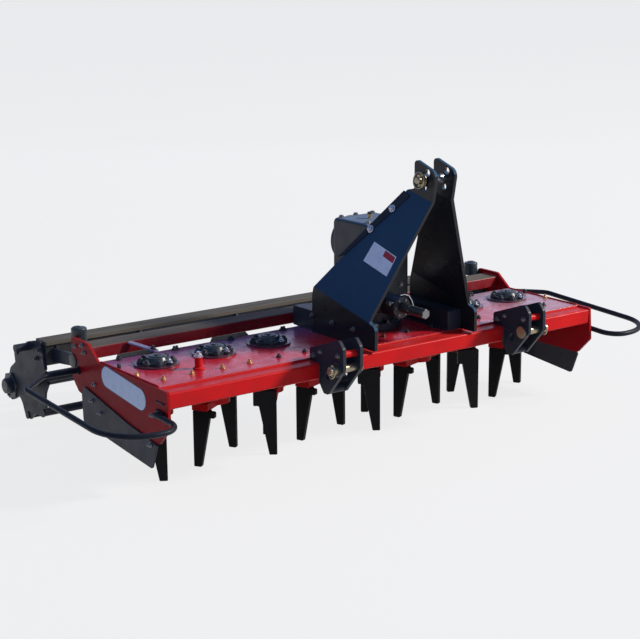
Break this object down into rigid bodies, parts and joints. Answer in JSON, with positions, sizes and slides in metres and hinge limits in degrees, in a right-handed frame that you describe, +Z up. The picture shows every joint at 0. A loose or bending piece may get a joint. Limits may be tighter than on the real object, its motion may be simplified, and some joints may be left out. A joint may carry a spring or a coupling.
{
  "type": "power harrow",
  "caption": "Mounted power harrow: counter-rotating vertical tine rotors under a red gear trough, three-point headstock with gearbox, side guards and a rear cage roller.",
  "frame": {"origin": "bottom centre of the whole machine's box, on the ground under the tine tips and the roller", "axes": "+X across the working width to the right of someone facing the roller from the tractor, +Y rearwards to the roller, -Y to the tractor, +Z up"},
  "size_m": [2.3504, 1.3414, 0.9945],
  "materials": {
    "red_paint": "gloss",
    "black_paint": "gloss",
    "grey_casting": "satin",
    "dark_casting": "satin",
    "zinc_pin": "satin",
    "bare_steel": "satin",
    "tine_steel": "satin"
  },
  "bodies": {
    "frame": {"gear_trough": "red_paint", "deck": "red_paint", "front_beam": "red_paint", "rear_member": "red_paint", "bearing_covers": "dark_casting", "rotor_housings": "red_paint", "clevis_spacers": "red_paint", "top_link_pin": "zinc_pin", "gearbox": "grey_casting", "gearbox_cover": "grey_casting", "end_plate_left": "red_paint", "end_plate_right": "red_paint", "tower_post_left": "dark_casting", "tower_post_right": "dark_casting", "deflector_left": "black_paint", "deflector_right": "black_paint", "guard_hoop_left": "black_paint", "guard_hoop_right": "black_paint", "mast_plate_left": "black_paint", "mast_plate_right": "black_paint", "mast_rail_left": "black_paint", "mast_rail_right": "black_paint", "lower_clevis_left": "black_paint", "lower_clevis_right": "black_paint", "lower_pin_left": "zinc_pin", "lower_pin_right": "zinc_pin"},
    "rotor_1_body": {"rotor_1": "red_paint", "tines_1": "tine_steel"},
    "rotor_2_body": {"rotor_2": "red_paint", "tines_2": "tine_steel"},
    "rotor_3_body": {"rotor_3": "red_paint", "tines_3": "tine_steel"},
    "rotor_4_body": {"rotor_4": "red_paint", "tines_4": "tine_steel"},
    "rotor_5_body": {"rotor_5": "red_paint", "tines_5": "tine_steel"},
    "rotor_6_body": {"rotor_6": "red_paint", "tines_6": "tine_steel"},
    "rotor_7_body": {"rotor_7": "red_paint", "tines_7": "tine_steel"},
    "rotor_8_body": {"rotor_8": "red_paint", "tines_8": "tine_steel"},
    "pto_body": {"pto_shaft": "bare_steel"},
    "roller_frame": {"roller_beam": "black_paint", "roller_arm_left": "black_paint", "roller_arm_right": "black_paint", "roller_hanger_left": "black_paint", "roller_hanger_right": "black_paint", "roller_bearing_left": "dark_casting", "roller_bearing_right": "dark_casting"},
    "roller": {"roller_axle": "black_paint", "roller_bars": "black_paint", "roller_discs": "black_paint"}
  },
  "joints": [
    {"name": "rotor_1_spin", "type": "hinge", "parent": "frame", "child": "rotor_1_body", "pos_m": [-0.77875, -0.23671, 0.221], "axis": [0, 0, 1], "continuous": true},
    {"name": "rotor_2_spin", "type": "hinge", "parent": "frame", "child": "rotor_2_body", "pos_m": [-0.55625, -0.23671, 0.221], "axis": [0, 0, 1], "continuous": true},
    {"name": "rotor_3_spin", "type": "hinge", "parent": "frame", "child": "rotor_3_body", "pos_m": [-0.33375, -0.23671, 0.221], "axis": [0, 0, 1], "continuous": true},
    {"name": "rotor_4_spin", "type": "hinge", "parent": "frame", "child": "rotor_4_body", "pos_m": [-0.11125, -0.23671, 0.221], "axis": [0, 0, 1], "continuous": true},
    {"name": "rotor_5_spin", "type": "hinge", "parent": "frame", "child": "rotor_5_body", "pos_m": [0.11125, -0.23671, 0.221], "axis": [0, 0, 1], "continuous": true},
    {"name": "rotor_6_spin", "type": "hinge", "parent": "frame", "child": "rotor_6_body", "pos_m": [0.33375, -0.23671, 0.221], "axis": [0, 0, 1], "continuous": true},
    {"name": "rotor_7_spin", "type": "hinge", "parent": "frame", "child": "rotor_7_body", "pos_m": [0.55625, -0.23671, 0.221], "axis": [0, 0, 1], "continuous": true},
    {"name": "rotor_8_spin", "type": "hinge", "parent": "frame", "child": "rotor_8_body", "pos_m": [0.77875, -0.23671, 0.221], "axis": [0, 0, 1], "continuous": true},
    {"name": "pto_spin", "type": "hinge", "parent": "frame", "child": "pto_body", "pos_m": [0.11125, -0.41771, 0.458], "axis": [0, 1, 0], "continuous": true},
    {"name": "roller_frame_lift", "type": "hinge", "parent": "frame", "child": "roller_frame", "pos_m": [0, 0.04829, 0.331], "axis": [1, 0, 0], "range_deg": [-8, 14]},
    {"name": "roller_spin", "type": "hinge", "parent": "roller_frame", "child": "roller", "pos_m": [0, 0.52429, 0.14894], "axis": [1, 0, 0], "continuous": true}
  ],
  "couplings": [
    {"joint": "rotor_2_spin", "follows": "rotor_1_spin", "ratio": -1},
    {"joint": "rotor_3_spin", "follows": "rotor_1_spin", "ratio": 1},
    {"joint": "rotor_4_spin", "follows": "rotor_1_spin", "ratio": -1},
    {"joint": "rotor_5_spin", "follows": "rotor_1_spin", "ratio": 1},
    {"joint": "rotor_6_spin", "follows": "rotor_1_spin", "ratio": -1},
    {"joint": "rotor_7_spin", "follows": "rotor_1_spin", "ratio": 1},
    {"joint": "rotor_8_spin", "follows": "rotor_1_spin", "ratio": -1},
    {"joint": "pto_spin", "follows": "rotor_1_spin", "ratio": 2}
  ]
}
